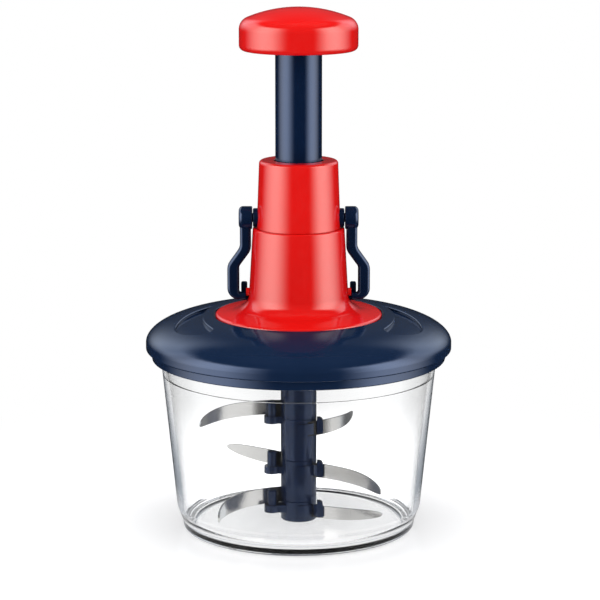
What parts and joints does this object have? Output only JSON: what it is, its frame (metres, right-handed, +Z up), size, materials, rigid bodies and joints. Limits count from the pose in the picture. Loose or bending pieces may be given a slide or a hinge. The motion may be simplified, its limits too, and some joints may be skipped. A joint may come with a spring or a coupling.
{
  "type": "plunger food chopper",
  "caption": "Hand-pressed food chopper: a clear bowl under a domed lid with a sprung plunger that spins a column of curved blades.",
  "frame": {"origin": "middle of the bowl's foot ring, on the table", "axes": "+Z up along the plunger; the locking arms are on -X and +X; the front faces -Y"},
  "size_m": [0.1698, 0.1698, 0.2897],
  "materials": {
    "clear_bowl": "gloss",
    "red_plastic": "gloss",
    "navy_plastic": "gloss",
    "blade_steel": "satin",
    "steel": "satin",
    "inner_plastic": "matte",
    "seal_rubber": "matte"
  },
  "bodies": {
    "bowl": {"bowl": "clear_bowl", "bowl_pivot_pin": "steel"},
    "lid": {"lid_shell": "navy_plastic", "lid_underplate": "navy_plastic", "lid_gasket": "seal_rubber", "underplate_screws": "steel", "bell_housing": "red_plastic", "upper_collar": "red_plastic", "guide_sleeve": "inner_plastic", "guide_bush": "inner_plastic", "housing_screws": "steel", "bearing_cup": "inner_plastic", "spindle_bearing": "inner_plastic", "left_pivot_pin": "navy_plastic", "right_pivot_pin": "navy_plastic", "left_park_stop": "navy_plastic", "right_park_stop": "navy_plastic", "return_spring": "steel"},
    "plunger": {"knob": "red_plastic", "knob_screw": "steel", "plunger_tube": "navy_plastic", "drive_nut": "inner_plastic"},
    "spindle": {"spindle": "inner_plastic", "thrust_washer": "steel", "retaining_clip": "steel", "drive_coupling": "inner_plastic", "coupling_pin": "steel"},
    "blade_carrier": {"carrier_core": "navy_plastic", "hub_lower": "navy_plastic", "hub_middle": "navy_plastic", "hub_upper": "navy_plastic", "carrier_cap": "navy_plastic", "carrier_foot_bush": "inner_plastic", "blade_lower_left": "blade_steel", "blade_lower_right": "blade_steel", "blade_middle_left": "blade_steel", "blade_middle_right": "blade_steel", "blade_upper_left": "blade_steel", "blade_upper_right": "blade_steel"},
    "left_arm": {"left_arm": "navy_plastic"},
    "right_arm": {"right_arm": "navy_plastic"}
  },
  "joints": [
    {"name": "lid_lift", "type": "slide", "parent": "bowl", "child": "lid", "axis": [0, 0, 1], "range_m": [0, 0.13]},
    {"name": "plunger_press", "type": "slide", "parent": "lid", "child": "plunger", "axis": [0, 0, -1], "range_m": [0, 0.0675], "stiffness_N_per_m": 250, "springref_m": -0.02, "deforming": ["return_spring"]},
    {"name": "spindle_turn", "type": "hinge", "parent": "lid", "child": "spindle", "pos_m": [0, 0, 0.104], "axis": [0, 0, 1], "range_deg": [0, 490]},
    {"name": "carrier_turn", "type": "hinge", "parent": "bowl", "child": "blade_carrier", "pos_m": [0, 0, 0.004], "axis": [0, 0, 1], "range_deg": [0, 490]},
    {"name": "left_arm_swing", "type": "hinge", "parent": "lid", "child": "left_arm", "pos_m": [-0.0293, 0, 0.1742], "axis": [-1, 0, 0], "range_deg": [0, 180]},
    {"name": "right_arm_swing", "type": "hinge", "parent": "lid", "child": "right_arm", "pos_m": [0.0293, 0, 0.1742], "axis": [-1, 0, 0], "range_deg": [0, 180]}
  ],
  "couplings": [
    {"joint": "spindle_turn", "follows": "plunger_press", "rad_per_m": 125.66},
    {"joint": "carrier_turn", "follows": "plunger_press", "rad_per_m": 125.66}
  ]
}
